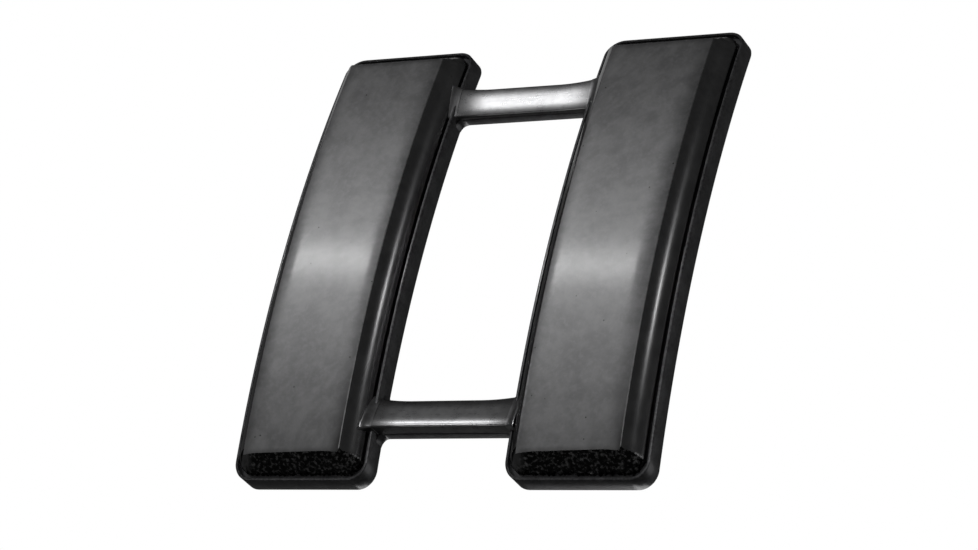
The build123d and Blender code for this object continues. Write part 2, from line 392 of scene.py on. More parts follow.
BRIDGE_STEPS = 64
BRIDGE_BITE = 0.10          # how far a bridge runs into the flange


def bridge(level):
    """Strip under a crossbar, flared where it runs into the flanges."""
    shell = Shell()
    middle = LEVELS[level] * CROSSBAR_OFFSET
    reach = BAR_GAP / 2 + BRIDGE_BITE
    soft = EDGE_ROUND
    rings = []
    for height, inset in [(0.0, soft), (0.3 * soft, 0.3 * soft), (soft, 0.0),
                          (BRIDGE_THICKNESS - soft, 0.0), (BRIDGE_THICKNESS, soft)]:
        low, high = [], []
        for u in spread(BRIDGE_STEPS, crowding=0.8):
            x = u * reach
            half = BRIDGE_WIDTH / 2 + window_flare(x) - inset
            low.append(on_bow(x, middle - half, height))
            high.append(on_bow(x, middle + half, height))
        rings.append(shell.ring(low + list(reversed(high)), wear=0.3))
    for below, above in zip(rings, rings[1:]):
        shell.join(below, above)
    for ring, flip in ((rings[0], True), (rings[-1], False)):
        for k in range(BRIDGE_STEPS):
            strip = [ring[k], ring[k + 1], ring[-k - 2], ring[-k - 1]]
            shell.cap(strip, flip)
    return shell


def window_flare(x):
    """How far a bridge widens at its fillets into the flanges."""
    into = WINDOW_CORNER - (BAR_GAP / 2 - abs(x))
    if into <= 0:
        return 0.0
    into = min(into, WINDOW_CORNER)
    return WINDOW_CORNER - math.sqrt(WINDOW_CORNER ** 2 - into ** 2)


def backing_plate():
    """The two flanges and the two bridges between them."""
    shells = [flange(side) for side in SIDES] + [bridge(level) for level in LEVELS]
    return make_piece("struck_backing_plate", shells, STRUCK)


# ---- crossbars and their solder collars ----

CROSSBAR_STEPS = 100
CREST_STEPS = 40
CREST_POWER = {"upper": 3, "lower": 4}
CREST_DROP = {"upper": 0.58, "lower": 0.75}     # share of the crown lost at the edges
SHOULDER_STEPS = 6
SWELL_HEIGHT = 0.17         # how much a crossbar thickens into its collars
SWELL_WIDTH = 0.4           # and the share of that by which it widens
SWELL_LENGTH = {"left": 1.6, "right": 1.9}


def crossbar_ring(level, x, lift, spread_out, foot):
    """Section of a crossbar: foot, wall, shoulder, crowned face and down again."""
    z_middle = LEVELS[level] * CROSSBAR_OFFSET
    y_middle = bow_y(z_middle, FACE_LIFT[level]) - lift
    slope = math.tan(math.radians(FACE_TILT[level]))
    half = CROSSBAR_WIDTH / 2 + spread_out
    flat = half - CROSSBAR_SHOULDER
    crest = []
    for k in range(CREST_STEPS + 1):
        v = 2 * k / CREST_STEPS - 1
        drop = CREST_DROP[level] * abs(v) ** CREST_POWER[level]
        crest.append((v * flat, CROSSBAR_CROWN * (1 - drop)))
    low_edge = CROSSBAR_CROWN * (1 - CREST_DROP[level]) - CROSSBAR_SHOULDER
    shoulder = []
    for k in range(SHOULDER_STEPS):
        turn = math.pi / 2 * (1 - k / SHOULDER_STEPS)
        shoulder.append((-flat - CROSSBAR_SHOULDER * math.sin(turn),
                         low_edge + CROSSBAR_SHOULDER * math.cos(turn)))
    upper = [(-v, rise) for v, rise in reversed(shoulder)]
    section = shoulder + crest + upper
    places = [Vector((x, bow_y(z_middle - half, foot), z_middle - half)) * MM]
    for v, rise in section:
        places.append(Vector((x, y_middle + v * slope - rise, z_middle + v)) * MM)
    places.append(Vector((x, bow_y(z_middle + half, foot), z_middle + half)) * MM)
    return places


def swell_at(x):
    """Thickening of a crossbar towards the bars, from 0 to 1."""
    length = SWELL_LENGTH["left" if x < 0 else "right"]
    return max(0.0, 1 - (BAR_GAP / 2 + BAR_INSET - abs(x)) / length) ** 2


def crossbar(level):
    """Struck strip that thickens towards the bars."""
    shell = Shell()
    reach = BAR_GAP / 2 + BAR_INSET
    rings = []
    for u in spread(CROSSBAR_STEPS, crowding=0.5):
        x = u * reach
        swell = SWELL_HEIGHT * swell_at(x)
        places = crossbar_ring(level, x, swell, SWELL_WIDTH * swell, BRIDGE_THICKNESS)
        rings.append(shell.ring(places, wear=1 - swell_at(x)))
    for low, high in zip(rings, rings[1:]):
        shell.join(high, low)
    shell.cap(rings[0], False)
    shell.cap(rings[-1], True)
    return make_piece(f"{level}_crossbar_strip", [shell], ROUNDED)


COLLAR_STEPS = 20
COLLAR_LIP = 0.015
COLLAR_RISE = 0.11          # how far a collar is drawn up the bar
COLLAR_BEAD = 0.40          # how far its last edge rolls back down
COLLAR_FLARE = 0.09         # how much wider it is there
COLLAR_SINK = 0.05          # how far it reaches down over the bridge


def collar(level, side):
    """Concave fillet of solder, drawn up from the crossbar onto the bar."""
    shell = Shell()
    sign = SIDES[side]
    stop = BAR_GAP / 2 + BAR_INSET + GROOVE_WIDTH
    start = stop - COLLAR_LENGTH
    rings = []
    for k in range(COLLAR_STEPS + 1):
        t = k / COLLAR_STEPS
        x = start + COLLAR_LENGTH * t
        under = SWELL_HEIGHT * swell_at(sign * min(x, BAR_GAP / 2 + BAR_INSET))
        lift = under + COLLAR_LIP + COLLAR_RISE * (t ** 3 - COLLAR_BEAD * t ** 12)
        spread_out = SWELL_WIDTH * under + COLLAR_LIP + COLLAR_FLARE * t ** 2
        places = crossbar_ring(level, sign * x, lift, spread_out,
                               BRIDGE_THICKNESS - COLLAR_SINK)
        rings.append(shell.ring(places, wear=0.3 + 0.7 * t))
    for low, high in zip(rings, rings[1:]):
        if sign > 0:
            shell.join(high, low)
        else:
            shell.join(low, high)
    shell.cap(rings[0], sign < 0)
    shell.cap(rings[-1], sign > 0)
    return make_piece(f"collar_{level}_{side}", [shell], ROUNDED)


# ---- findings on the back ----

SOLDER_THICKNESS = 0.08
SOLDER_BORDER = 0.16
FOOT_THICKNESS = 0.30
HINGE_OFFSET = 6.50
CATCH_OFFSET = 6.10
PIN_HEIGHT = 1.25
STEM_RADIUS = 0.40
NECK_RADIUS = 0.52
NECK_LENGTH = 0.50
NECK_DROP = 0.70
CATCH_RADIUS = 0.33
TAPER_LEAD = 0.35
TIP_LENGTH = 0.95
TIP_RADIUS = 0.06
TIP_OVERHANG = 0.30
EYE_RADIUS = 0.75
EYE_WIDTH = 1.10
RIVET_RADIUS = 0.30
RIVET_CLEARANCE = 0.03
HEAD_RADIUS = 0.525
HEAD_THICKNESS = 0.20
EAR_THICKNESS = 0.30
EAR_CLEARANCE = 0.05
EAR_RADIUS = 0.725
HINGE_FOOT_LENGTH = 2.60
HINGE_FOOT_SIDE = 0.55
BARREL_CLEARANCE = 0.12
BARREL_WALL = 0.32
SLOT_CLEARANCE = 0.09
HOUSING_CLEARANCE = 0.03
HOUSING_WALL = 0.26
HOUSING_LENGTH = 1.20
CATCH_GAP = 0.05
COLLAR_RING_LENGTH = 0.55
KEEPER_LENGTH = 0.25
CATCH_FOOT_WIDTH = 2.60
CATCH_FOOT_LENGTH = 1.60
CATCH_NECK_WIDTH = 1.10
TAB_LENGTH = 1.00
TAB_WIDTH = 0.55
TAB_THICKNESS = 0.34
TAB_ROUND = 2.2             # its width over the radius of its corners
TAB_ROOT = 0.7              # share of the ring's wall that it is rooted in

EAR_INNER = EYE_WIDTH / 2 + EAR_CLEARANCE
EAR_OUTER = EAR_INNER + EAR_THICKNESS
BARREL_BORE = STEM_RADIUS + BARREL_CLEARANCE
BARREL_RADIUS = BARREL_BORE + BARREL_WALL
HOUSING_BORE = BARREL_RADIUS + HOUSING_CLEARANCE
HOUSING_RADIUS = HOUSING_BORE + HOUSING_WALL
SLOT_HALF = STEM_RADIUS + SLOT_CLEARANCE
HOUSING_LOW = -CATCH_OFFSET - HOUSING_LENGTH / 2
BARREL_LOW = HOUSING_LOW - CATCH_GAP - COLLAR_RING_LENGTH
BARREL_HIGH = HOUSING_LOW + HOUSING_LENGTH + CATCH_GAP + KEEPER_LENGTH
STEM_LOW = BARREL_LOW - TIP_OVERHANG - TIP_LENGTH

ROUND_STEPS = 96
EASE = 0.035                # eased edges of the stampings
FOOT_CORNER = 0.30
PAD_GRID = 24
WAVE_LENGTH = 0.45          # of the solder's run-out edge


def arc(radius, start, stop, middle=(0.0, 0.0), steps=None):
    """Points of an arc; its angles are in degrees."""
    steps = steps or round(ROUND_STEPS * abs(stop - start) / 360)
    points = []
    for k in range(steps + 1):
        turn = math.radians(start + (stop - start) * k / steps)
        points.append((middle[0] + radius * math.cos(turn),
                       middle[1] + radius * math.sin(turn)))
    return points


def shrunk(outline, inset):
    """A counterclockwise outline moved inwards."""
    moved = []
    for k, (a, b) in enumerate(outline):
        before, after = outline[k - 1], outline[(k + 1) % len(outline)]
        along = Vector((after[0] - before[0], after[1] - before[1])).normalized()
        moved.append((a - along.y * inset, b + along.x * inset))
    return moved


def stacked(shell, levels, place, wear=0.2):
    """Skin through a stack of outlines, given as (outline, height) from low to high."""
    rings = [shell.ring([place(a, b, height) for a, b in outline], wear)
             for outline, height in levels]
    for low, high in zip(rings, rings[1:]):
        shell.join(low, high)
    shell.cap(rings[0], True)
    shell.cap(rings[-1], False)


def pressed(shell, outline, low, high, place):
    """Straight-walled shape with eased edges."""
    steps = [(low, EASE), (low + 0.3 * EASE, 0.3 * EASE), (low + EASE, 0.0),
             (high - EASE, 0.0), (high - 0.3 * EASE, 0.3 * EASE), (high, EASE)]
    stacked(shell, [(shrunk(outline, inset), height) for height, inset in steps], place)


def turned(shell, profile, place):
    """Turned shape from (radius, height) pairs."""
    stacked(shell, [(arc(radius, 0, 360)[:-1], height) for radius, height in profile], place)


def upright(x_middle):
    """Places for a shape whose axis is the pin's."""
    return lambda a, b, height: Vector((x_middle + a, PIN_HEIGHT + b, height)) * MM


def sideways(x_middle):
    """Places for a shape whose axis is the hinge's."""
    return lambda a, b, height: Vector((x_middle + height, PIN_HEIGHT + a,
                                        HINGE_OFFSET + b)) * MM


def saddle(shell, middle, half_width, half_length, corner, profile):
    """Plate on the bowed back, from rings of (height, inset, waviness of its edge)."""
    x_middle, z_middle = middle
    steps = spread(PAD_GRID, crowding=0.4)
    rings = []
    for height, inset, waviness in profile:
        places = []
        for x, z in plan_ring(half_width, half_length, corner, steps, steps):
            wave = 0.5 + 0.5 * noise.noise(Vector((x, z, x_middle)) / WAVE_LENGTH)
            shrink = 1 - (inset + waviness * wave) / math.hypot(x, z)
            places.append(on_bow(x_middle + x * shrink, z_middle + z * shrink, height))
        rings.append(shell.ring(places, wear=0.2))
    for low, high in zip(rings, rings[1:]):
        shell.join(low, high)
    shell.strips(rings[0], PAD_GRID, PAD_GRID, True)
    shell.strips(rings[-1], PAD_GRID, PAD_GRID, False)


def solder_pad(name, middle, width, length):
    """Solder that has run out a little past its foot."""
    shell = Shell()
    deep = SOLDER_THICKNESS
    profile = [(-deep, 0.80 * SOLDER_BORDER, 0.0), (-0.8 * deep, 0.50 * SOLDER_BORDER, 0.06),
               (-0.45 * deep, 0.15 * SOLDER_BORDER, 0.10), (-0.15 * deep, 0.0, 0.11),
               (0.0, 0.02, 0.11)]
    saddle(shell, middle, width / 2 + SOLDER_BORDER, length / 2 + SOLDER_BORDER,
           FOOT_CORNER + SOLDER_BORDER, profile)
    return make_piece(name, [shell], ROUNDED)


def foot(middle, width, length):
    """Eased plate that sits on its solder."""
    shell = Shell()
    deep = SOLDER_THICKNESS + FOOT_THICKNESS
    profile = [(-deep, 1.6 * EASE, 0.0), (-deep + 0.35 * EASE, 0.6 * EASE, 0.0),
               (-deep + 1.5 * EASE, 0.0, 0.0), (-SOLDER_THICKNESS - EASE, 0.0, 0.0),
               (-SOLDER_THICKNESS, EASE, 0.0)]
    saddle(shell, middle, width / 2, length / 2, FOOT_CORNER, profile)
    return shell


def hinge_bracket(side):
    """Saddle foot with two ears."""
    x_middle = SIDES[side] * BAR_X
    shells = [foot((x_middle, HINGE_OFFSET), 2 * (EAR_OUTER + HINGE_FOOT_SIDE),
                   HINGE_FOOT_LENGTH)]
    root = bow_y(HINGE_OFFSET, -SOLDER_THICKNESS - FOOT_THICKNESS / 2) - PIN_HEIGHT
    outline = [(root, -EAR_RADIUS)] + arc(EAR_RADIUS, -90, 90) + [(root, EAR_RADIUS)]
    for sign in (-1, 1):
        shell = Shell()
        inner, outer = sorted((sign * EAR_INNER, sign * EAR_OUTER))
        pressed(shell, outline, inner, outer, sideways(x_middle))
        shells.append(shell)
    return make_piece(f"hinge_saddle_{side}", shells, STRUCK)


HEAD_STEPS = 8
HEAD_FLAT = 10              # degrees of each dome left flat at its middle


def hinge_rivet(side):
    """Rivet with two snapped heads."""
    shell = Shell()
    dome = []
    for k in range(HEAD_STEPS + 1):
        turn = math.radians(HEAD_FLAT + (90 - HEAD_FLAT) * k / HEAD_STEPS)
        dome.append((HEAD_RADIUS * math.sin(turn), HEAD_THICKNESS * math.cos(turn)))
    profile = [(radius, -EAR_OUTER - height) for radius, height in dome]
    profile += [(RIVET_RADIUS, -EAR_OUTER), (RIVET_RADIUS, EAR_OUTER)]
    profile += [(radius, EAR_OUTER + height) for radius, height in reversed(dome)]
    turned(shell, profile, sideways(SIDES[side] * BAR_X))
    return make_piece(f"snapped_rivet_{side}", [shell], ROUNDED)


NECK_STEPS = 10
STRAIGHT_LENGTH = 8.0       # full thickness, from the ground point up


def pin_stem(side):
    """Long-tapered wire with a ground point, swelling into a bored eye."""
    stem = Shell()
    x_middle = SIDES[side] * BAR_X
    tip_high = STEM_LOW + TIP_LENGTH
    neck_high = HINGE_OFFSET - NECK_DROP
    profile = [(0.4 * TIP_RADIUS, STEM_LOW), (0.9 * TIP_RADIUS, STEM_LOW + 0.3 * TIP_RADIUS)]
    for k in range(1, NECK_STEPS + 1):
        t = k / NECK_STEPS
        radius = TIP_RADIUS + (CATCH_RADIUS - TIP_RADIUS) * t
        profile.append((radius, STEM_LOW + 0.3 * TIP_RADIUS
                        + (TIP_LENGTH - 0.3 * TIP_RADIUS) * t))
    profile += [(STEM_RADIUS, BARREL_HIGH + TAPER_LEAD),
                (STEM_RADIUS, tip_high + STRAIGHT_LENGTH)]
    for k in range(NECK_STEPS + 1):
        t = k / NECK_STEPS
        ease = t * t * (3 - 2 * t)
        profile.append((STEM_RADIUS + (NECK_RADIUS - STEM_RADIUS) * ease,
                        neck_high - NECK_LENGTH * (1 - t)))
    profile.append((NECK_RADIUS, HINGE_OFFSET - math.sqrt(EYE_RADIUS ** 2 - NECK_RADIUS ** 2)))
    turned(stem, profile, upright(x_middle))
    return make_piece(f"tapered_pin_{side}", [stem, eye(x_middle)], DRAWN)


def eye(x_middle):
    """Ring that turns on the rivet."""
    shell = Shell()
    bore = RIVET_RADIUS + RIVET_CLEARANCE
    half = EYE_WIDTH / 2
    section = [(half, bore + EASE), (half, EYE_RADIUS - 2 * EASE),
               (half - 0.6 * EASE, EYE_RADIUS - 0.6 * EASE), (half - 2 * EASE, EYE_RADIUS),
               (-half + 2 * EASE, EYE_RADIUS), (-half + 0.6 * EASE, EYE_RADIUS - 0.6 * EASE),
               (-half, EYE_RADIUS - 2 * EASE), (-half, bore + EASE),
               (-half + EASE, bore), (half - EASE, bore)]
    place = sideways(x_middle)
    rings = []
    for k in range(ROUND_STEPS):
        turn = 2 * math.pi * k / ROUND_STEPS
        places = [place(radius * math.cos(turn), radius * math.sin(turn), height)
                  for height, radius in section]
        rings.append(shell.ring(places, wear=0.3))
    for k in range(ROUND_STEPS):
        shell.join(rings[k], rings[(k + 1) % ROUND_STEPS])
    return shell


def open_ring(outer, inner):
    """C-shaped outline that opens away from the back."""
    out_turn = math.degrees(math.asin(SLOT_HALF / outer))
    in_turn = math.degrees(math.asin(SLOT_HALF / inner))
    outside = arc(outer, 90 + out_turn, 450 - out_turn, steps=ROUND_STEPS)
    return outside + arc(inner, 450 - in_turn, 90 + in_turn, steps=ROUND_STEPS)


def catch_housing(side):
    """Open ring on a neck and a saddle foot."""
    x_middle = SIDES[side] * BAR_X
    ring, neck = Shell(), Shell()
    high = HOUSING_LOW + HOUSING_LENGTH
    pressed(ring, open_ring(HOUSING_RADIUS, HOUSING_BORE), HOUSING_LOW, high,
            upright(x_middle))
    root = bow_y(CATCH_OFFSET, -SOLDER_THICKNESS - FOOT_THICKNESS / 2) - PIN_HEIGHT
    top = -HOUSING_BORE - 0.5 * EASE
    half = CATCH_NECK_WIDTH / 2
    pressed(neck, [(-half, root), (half, root), (half, top), (-half, top)], HOUSING_LOW,
            high, upright(x_middle))
    base = foot((x_middle, -CATCH_OFFSET), CATCH_FOOT_WIDTH, CATCH_FOOT_LENGTH)
    return make_piece(f"catch_saddle_{side}", [ring, neck, base], STRUCK)


def catch_barrel(side):
    """Turning barrel with two end rings and a thumb tab."""
    x_middle = SIDES[side] * BAR_X
    barrel, tab = Shell(), Shell()
    ring_high = BARREL_LOW + COLLAR_RING_LENGTH
    keeper_low = BARREL_HIGH - KEEPER_LENGTH
    wide = open_ring(HOUSING_RADIUS, BARREL_BORE)
    slim = open_ring(BARREL_RADIUS, BARREL_BORE)
    levels = [(shrunk(wide, EASE), BARREL_LOW), (wide, BARREL_LOW + EASE),
              (wide, ring_high - EASE), (shrunk(wide, 0.6 * EASE), ring_high - 0.2 * EASE),
              (slim, ring_high), (slim, keeper_low),
              (shrunk(wide, 0.6 * EASE), keeper_low + 0.2 * EASE), (wide, keeper_low + EASE),
              (wide, BARREL_HIGH - EASE), (shrunk(wide, EASE), BARREL_HIGH)]
    stacked(barrel, levels, upright(x_middle), wear=0.4)
    round_end = TAB_WIDTH / TAB_ROUND
    far = -HOUSING_RADIUS - TAB_LENGTH
    near = -HOUSING_RADIUS + TAB_ROOT * HOUSING_WALL
    middle = (BARREL_LOW + ring_high) / 2
    low, high = middle - TAB_WIDTH / 2, middle + TAB_WIDTH / 2
    outline = arc(round_end, 180, 270, (low + round_end, far + round_end))
    outline += arc(round_end, 270, 360, (high - round_end, far + round_end))
    outline += [(high, near), (low, near)]
    pressed(tab, outline, PIN_HEIGHT - TAB_THICKNESS / 2, PIN_HEIGHT + TAB_THICKNESS / 2,
            lambda a, b, height: Vector((x_middle + b, height, a)) * MM)
    return make_piece(f"safety_barrel_{side}", [barrel, tab], STRUCK)


# ---- finishes ----

# sockets that can only be told apart by their place in the node
OBJECT_PLACE = 3
MARK_VALUE = 2
MIX_FACTOR = 0
MIX_UNDER = 6
MIX_OVER = 7
MIX_COLOUR = 2


class Value:
    """A number socket of a finish, so that arithmetic on it adds Math nodes."""

    def __init__(self, finish, socket):
        self.finish = finish
        self.socket = socket

    def maths(self, operation, *others, clamp=False):
        settings = {"operation": operation, "use_clamp": clamp}
        sockets = dict(enumerate((self,) + others))
        return self.finish.add("ShaderNodeMath", settings, sockets)

    def __add__(self, other):
        return self.maths("ADD", other)

    __radd__ = __add__

    def __mul__(self, other):
        return self.maths("MULTIPLY", other)

    __rmul__ = __mul__

    def __sub__(self, other):
        return self.maths("SUBTRACT", other)

    def __rsub__(self, other):
        return self.maths("MULTIPLY", -1.0).maths("ADD", other)

    def clamped(self):
        return self.maths("ADD", 0.0, clamp=True)

    def above(self, low, high):
        """0 under low, 1 over high, and a smooth step between."""
        settings = {"interpolation_type": "SMOOTHSTEP"}
        sockets = {"Value": self, "From Min": low, "From Max": high}
        return self.finish.add("ShaderNodeMapRange", settings, sockets)


class Finish:
    """A metal's material, built from its own short list of nodes."""

    def __init__(self, name, metallic=1.0, **shader):
        self.material = bpy.data.materials.new(name)
        self.material.use_nodes = True
        self.tree = self.material.node_tree
        self.shader = self.tree.nodes["Principled BSDF"]
        self.shader.inputs["Metallic"].default_value = metallic
        for socket, number in shader.items():
            self.shader.inputs[socket.replace("_", " ")].default_value = number

    def add(self, kind, settings=None, sockets=None, output=0):
        """Add a node: its settings first, then the numbers or links of its sockets."""
        node = self.tree.nodes.new(kind)
        for setting, choice in (settings or {}).items():
            setattr(node, setting, choice)
        for socket, given in (sockets or {}).items():
            self.feed(node.inputs[socket], given)
        return Value(self, node.outputs[output])

    def feed(self, socket, given):
        if isinstance(given, Value):
            self.tree.links.new(given.socket, socket)
        else:
            socket.default_value = given

    def place(self, stretch=(1, 1, 1)):
        """Object coordinates in millimetres, stretched for brushed or drawn marks."""
        at = self.add("ShaderNodeTexCoord", output=OBJECT_PLACE)
        scale = [number / MM for number in stretch]
        return self.add("ShaderNodeMapping", {"vector_type": "POINT"},
                        {"Vector": at, "Scale": scale})

    def clouds(self, scale, detail=4.0, roughness=0.55, stretch=(1, 1, 1)):
        """Soft noise, about 0.5."""
        return self.add("ShaderNodeTexNoise", None,
                        {"Vector": self.place(stretch), "Scale": scale, "Detail": detail,
                         "Roughness": roughness})

    def cells(self, scale):
        """Distance from scattered points."""
        return self.add("ShaderNodeTexVoronoi", None,
                        {"Vector": self.place(), "Scale": scale})

    def mark(self, name):
        """A mark written on the mesh, such as its worn edges."""
        return self.add("ShaderNodeAttribute", {"attribute_name": name}, output=MARK_VALUE)

    def blend(self, factor, under, over):
        """Mix two colours."""
        node = self.tree.nodes.new("ShaderNodeMix")
        node.data_type = "RGBA"
        self.feed(node.inputs[MIX_FACTOR], factor)
        for socket, given in ((MIX_UNDER, under), (MIX_OVER, over)):
            colour = given if isinstance(given, Value) else (*given, 1)
            self.feed(node.inputs[socket], colour)
        return Value(self, node.outputs[MIX_COLOUR])

    def surface(self, colour, roughness, height=None, depth=0.002, strength=1.0):
        """Join the pattern to the shader; depth of the bumps is in millimetres."""
        self.feed(self.shader.inputs["Base Color"], colour)
        self.feed(self.shader.inputs["Roughness"], roughness)
        if height is not None:
            bump = self.add("ShaderNodeBump", None, {"Strength": strength,
                                                     "Distance": depth * MM, "Height": height})
            self.feed(self.shader.inputs["Normal"], bump)
        return self.material


def black_polish():
    """Black plate over brass: polished, faintly mottled, worn pale on the ridges, with a
    painted highlight on one inner ridge and painted shade low on the faces' right sides.
    """
    finish = Finish("black_polish", Coat_Weight=0.35, Coat_Roughness=0.142)
    wear = finish.mark("wear")
    cast = finish.mark("grain")
    flank = finish.mark("flank")
    shade = finish.mark("shade")
    mottle = finish.clouds(1.1, 6.0, 0.62)
    haze = finish.clouds(4.5, 5.0, 0.6)
    brushed = finish.clouds(1.0, 3.0, 0.5, stretch=(26, 26, 1.6))
    specks = 1 - finish.cells(1.35).above(0.028, 0.055)
    patchy = finish.clouds(6.0, 3.0).above(0.42, 0.62)
    tone = finish.blend(mottle.above(0.3, 0.72), (0.205, 0.205, 0.208), (0.285, 0.285, 0.288))
    tone = finish.blend(haze.above(0.42, 0.7) * 0.35, tone, (0.34, 0.34, 0.345))
    # pale on worn ridges; on the right bar's inner ridge this is also the painted highlight
    tone = finish.blend((wear * (0.2 + 0.4 * patchy)).clamped(), tone, (0.50, 0.50, 0.51))
    tone = finish.blend(specks * 0.85, tone, (0.03, 0.03, 0.03))
    crystals = finish.clouds(7.0, 5.0, 0.66).above(0.49, 0.68)
    cast_tone = finish.blend(crystals, (0.010, 0.010, 0.010), (0.44, 0.44, 0.44))
    # painted shade on the faces' right sides, towards the lower end
    tone = finish.blend(shade.clamped(), tone, (0.03, 0.03, 0.03))
    tone = finish.blend(cast, tone, cast_tone)
    rough = 0.38 + 0.07 * mottle + 0.03 * haze - 0.21 * flank
    rough = (rough + cast * 0.30).clamped()
    height = 0.5 * brushed + 0.35 * haze - 0.6 * specks + 1.5 * cast * finish.clouds(14.0, 4.0)
    return finish.surface(tone, rough, height, 0.003, 0.2)


def black_base():
    """The base's plating: darker and less polished than the bars."""
    finish = Finish("black_base", Coat_Weight=0.5, Coat_Roughness=0.16)
    wear = finish.mark("wear")
    mottle = finish.clouds(1.6, 6.0, 0.6)
    grit = finish.clouds(9.0, 5.0, 0.65)
    tone = finish.blend(mottle.above(0.3, 0.7), (0.085, 0.085, 0.088), (0.15, 0.15, 0.155))
    worn = wear * grit.above(0.4, 0.62) * 0.5
    tone = finish.blend(worn.clamped(), tone, (0.30, 0.30, 0.31))
    rough = (0.38 + 0.16 * grit + 0.06 * mottle - 0.08 * wear).clamped()
    return finish.surface(tone, rough, grit + 0.6 * mottle, 0.006, 0.35)


def burnished(name, dark, bright, roughness):
    """Crossbars and collars: the same plating, worn nearly through to the metal."""
    finish = Finish(name)
    rub = finish.clouds(2.4, 5.0, 0.6)
    drawn = finish.clouds(1.0, 4.0, 0.6, stretch=(1.2, 22, 22))
    wear = finish.mark("wear")
    tone = finish.blend(rub.above(0.3, 0.68), dark, bright)
    tone = finish.blend((1 - wear) * 0.45, tone, (0.12, 0.12, 0.12))
    rough = (roughness + 0.08 * drawn + 0.05 * rub).clamped()
    return finish.surface(tone, rough, drawn + 0.5 * rub, 0.003, 0.1)


def nickel():
    """Nickel-plated stampings with fine rolling marks and a little tarnish."""
    finish = Finish("nickel_findings")
    tarnish = finish.clouds(0.9, 6.0, 0.62)
    rolled = finish.clouds(1.0, 3.0, 0.5, stretch=(2, 30, 30))
    pits = finish.clouds(11.0, 4.0, 0.7)
    tone = finish.blend(tarnish.above(0.38, 0.72), (0.66, 0.64, 0.60), (0.47, 0.43, 0.36))
    tone = finish.blend(pits.above(0.62, 0.75) * 0.5, tone, (0.26, 0.23, 0.19))
    rough = (0.24 + 0.14 * tarnish + 0.10 * rolled).clamped()
    return finish.surface(tone, rough, rolled + 0.6 * pits, 0.004, 0.3)


def pin_wire():
    """Drawn steel wire, ground to a point."""
    finish = Finish("pin_wire")
    drawn = finish.clouds(1.0, 3.0, 0.5, stretch=(34, 34, 1.2))
    haze = finish.clouds(2.2, 5.0, 0.6)
    tone = finish.blend(haze.above(0.35, 0.7), (0.66, 0.66, 0.67), (0.50, 0.50, 0.51))
    rough = (0.17 + 0.12 * drawn + 0.06 * haze).clamped()
    return finish.surface(tone, rough, drawn, 0.003, 0.35)


def soft_solder():
    """Dull grey solder, frosted where it set."""
    finish = Finish("soft_solder")
    frost = finish.clouds(7.0, 6.0, 0.68)
    pool = finish.clouds(1.3, 3.0, 0.5)
    tone = finish.blend(frost.above(0.38, 0.66), (0.36, 0.36, 0.365), (0.55, 0.55, 0.56))
    rough = (0.36 + 0.22 * frost + 0.05 * pool).clamped()
    return finish.surface(tone, rough, frost + pool, 0.012, 0.5)


def pale_paint():
    """Matt floor paint."""
    finish = Finish("pale_floor", 0.0)
    drift = finish.clouds(0.02, 3.0)
    tone = finish.blend(drift, (0.80, 0.80, 0.80), (0.84, 0.84, 0.83))
    return finish.surface(tone, 0.8 + 0.1 * drift)


# ---- assemble ----

def dress(piece, material, body, nodes):
    """Give a piece its material, its body and the nodes it stands for."""
    piece.data.materials.clear()
    piece.data.materials.append(material)
    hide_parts(*nodes)
    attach(piece, body)


polish = black_polish()
base_finish = black_base()
rod_finish = burnished("burnished_strips", (0.28, 0.28, 0.285), (0.34, 0.34, 0.345), 0.22)
collar_finish = burnished("burnished_collars", (0.34, 0.34, 0.345), (0.52, 0.52, 0.53), 0.24)
nickel_finish = nickel()
wire_finish = pin_wire()
solder_finish = soft_solder()

for side in SIDES:
    dress(bar(side), polish, "insignia", [f"{side}_bar"])
dress(backing_plate(), base_finish, "insignia", ["backing_plate"])
for level in LEVELS:
    dress(crossbar(level), rod_finish, "insignia", [f"{level}_crossbar"])
    for side in SIDES:
        dress(collar(level, side), collar_finish, "insignia",
              [f"solder_collar_{level}_{side}"])
for side, sign in SIDES.items():
    hinge = (sign * BAR_X, HINGE_OFFSET)
    catch = (sign * BAR_X, -CATCH_OFFSET)
    dress(solder_pad(f"hinge_pad_{side}", hinge, 2 * (EAR_OUTER + HINGE_FOOT_SIDE),
                     HINGE_FOOT_LENGTH), solder_finish, "insignia",
          [f"hinge_solder_{side}"])
    dress(solder_pad(f"catch_pad_{side}", catch, CATCH_FOOT_WIDTH, CATCH_FOOT_LENGTH),
          solder_finish, "insignia", [f"catch_solder_{side}"])
    dress(hinge_bracket(side), nickel_finish, "insignia", [f"hinge_bracket_{side}"])
    dress(hinge_rivet(side), nickel_finish, "insignia", [f"hinge_rivet_{side}"])
    dress(catch_housing(side), nickel_finish, "insignia", [f"catch_housing_{side}"])
    dress(catch_barrel(side), nickel_finish, f"barrel_{side}",
          [f"catch_barrel_{side}"])
    dress(pin_stem(side), wire_finish, f"pin_{side}", [f"pin_stem_{side}"])


# ---- studio ----

FLOOR_DROP = 0.090
FLOOR_SIZE = 1.2
WHITE = (1, 1, 1, 1)
AIR_IN_REFLECTIONS = 0.045
FILL_DISTANCE = 0.50

SENSOR_WIDTH = 36.0
FOCAL_LENGTH = 121.35
CAMERA_AT = (63.788, -94.878, -55.196)
CAMERA_RIGHT = (0.86244, 0.45531, 0.22110)
CAMERA_UP = (0.03154, -0.48432, 0.87432)


def studio_floor():
    """Level floor, well below the insignia."""
    mesh = bpy.data.meshes.new("studio_floor")
    half = FLOOR_SIZE / 2
    square = ((-1, -1), (1, -1), (1, 1), (-1, 1))
    corners = [(x * half, y * half, -FLOOR_DROP) for x, y in square]
    mesh.from_pydata(corners, [], [(0, 1, 2, 3)])
    mesh.materials.append(pale_paint())
    floor = bpy.data.objects.new("studio_floor", mesh)
    bpy.context.scene.collection.objects.link(floor)
    floor.visible_glossy = False


